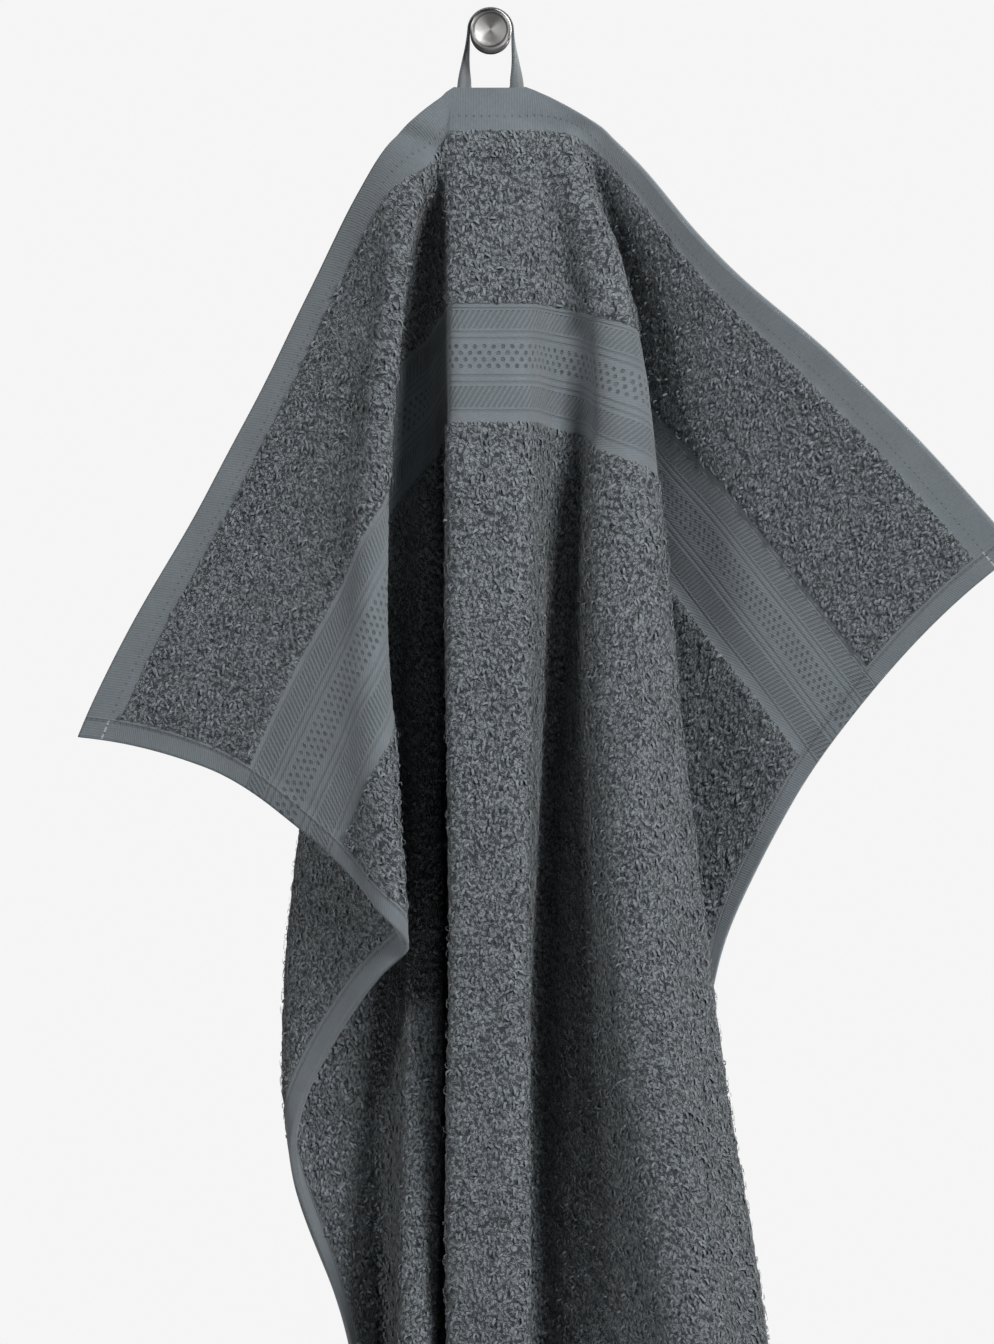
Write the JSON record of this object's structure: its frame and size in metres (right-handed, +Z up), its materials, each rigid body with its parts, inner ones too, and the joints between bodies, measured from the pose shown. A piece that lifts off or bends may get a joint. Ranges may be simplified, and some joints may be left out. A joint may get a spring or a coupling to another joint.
{
  "type": "hand towel hanging by its loop from a wall hook",
  "caption": "Grey terry hand towel hanging in deep folds by a narrow loop from a round steel wall hook, with woven borders and flat hems.",
  "frame": {"origin": "middle of the hook's wall face", "axes": "+Z up, the front of the towel faces -Y, +Y points into the wall"},
  "size_m": [0.2942, 0.065, 1.0421],
  "materials": {
    "towel_cloth": "terry",
    "loop_tape": "flat woven",
    "hook_knob_steel": "turned",
    "hook_stem_steel": "satin"
  },
  "bodies": {
    "root": {"towel": "towel_cloth", "hanging_loop": "loop_tape", "hook_knob": "hook_knob_steel", "hook_stem": "hook_stem_steel"}
  },
  "joints": []
}
